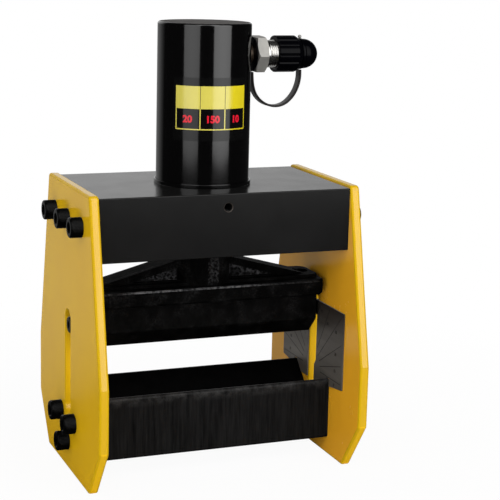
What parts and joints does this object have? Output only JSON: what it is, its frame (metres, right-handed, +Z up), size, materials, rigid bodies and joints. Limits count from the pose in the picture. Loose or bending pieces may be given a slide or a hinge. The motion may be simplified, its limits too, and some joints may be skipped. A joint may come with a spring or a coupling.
{
  "type": "hydraulic busbar bender",
  "caption": "Hydraulic press bender: side plates and a top block carry an upright cylinder whose ram drives a V-nosed blade into a V die; a capped oil coupler stands out of one side.",
  "frame": {"origin": "floor level, midway between the side plates and under the ram's axis", "axes": "+Z up along the ram, +X towards the side with the oil coupler, -Y the front that carries the rating label"},
  "size_m": [0.246, 0.186, 0.364],
  "materials": {
    "yellow_paint": "semi-gloss yellow paint",
    "black_paint": "semi-gloss black",
    "gloss_black": "gloss black",
    "blackened_steel": "blackened",
    "black_oxide": "black oxide",
    "bright_steel": "bright",
    "grey_steel": "dull grey",
    "bronze": "turned bronze",
    "seal": "matte",
    "black_plastic": "satin moulded",
    "film": "printed film"
  },
  "bodies": {
    "frame": {"left_side_plate": "yellow_paint", "right_side_plate": "yellow_paint", "top_block": "black_paint", "v_die": "blackened_steel", "block_screw_left_front": "black_oxide", "block_screw_left_middle": "black_oxide", "block_screw_left_rear": "black_oxide", "die_screw_left_front": "black_oxide", "die_screw_left_rear": "black_oxide", "die_screw_left_low": "black_oxide", "block_screw_right_front": "black_oxide", "block_screw_right_middle": "black_oxide", "block_screw_right_rear": "black_oxide", "die_screw_right_front": "black_oxide", "die_screw_right_rear": "black_oxide", "die_screw_right_low": "black_oxide", "cylinder_barrel": "gloss_black", "barrel_foot_ring": "gloss_black", "rating_film": "film", "rod_gland": "bronze", "rod_wiper": "seal", "barrel_lock_screw": "black_oxide", "return_spring": "bright_steel", "front_scale_plate": "grey_steel", "rear_scale_plate": "grey_steel", "port_nipple": "bronze", "coupler_body": "bright_steel", "poppet_spring": "bright_steel", "neck_eye": "black_plastic", "cap_strap": "black_plastic"},
    "ram": {"piston": "grey_steel", "piston_seal": "seal", "piston_wear_ring": "bronze", "ram_rod": "bright_steel", "press_head": "blackened_steel", "punch_blade": "blackened_steel", "ram_set_screw": "black_oxide", "guide_pin_left": "black_oxide", "guide_pin_right": "black_oxide", "blade_screw_left": "black_oxide", "blade_screw_right": "black_oxide"},
    "poppet": {"coupler_poppet": "bright_steel"},
    "tether_eye": {"cap_eye": "black_plastic", "cap_eye_rivet": "bright_steel"},
    "cap": {"dust_cap": "black_plastic"}
  },
  "joints": [
    {"name": "ram_stroke", "type": "slide", "parent": "frame", "child": "ram", "axis": [0, 0, -1], "range_m": [0, 0.062], "stiffness_N_per_m": 4000, "springref_m": -0.03, "deforming": ["return_spring"]},
    {"name": "poppet_push", "type": "slide", "parent": "frame", "child": "poppet", "axis": [-1, 0, 0], "range_m": [0, 0.003], "stiffness_N_per_m": 800, "springref_m": -0.004, "deforming": ["poppet_spring"]},
    {"name": "cap_travel", "type": "slide", "parent": "frame", "child": "tether_eye", "axis": [1, 0, 0], "range_m": [0, 0.006], "deforming": ["cap_strap"]},
    {"name": "cap_turn", "type": "hinge", "parent": "tether_eye", "child": "cap", "pos_m": [0.07, 0, 0.338], "axis": [1, 0, 0], "range_deg": [0, 720]}
  ],
  "couplings": [
    {"joint": "cap_travel", "follows": "cap_turn", "m_per_rad": 0.00047746}
  ]
}
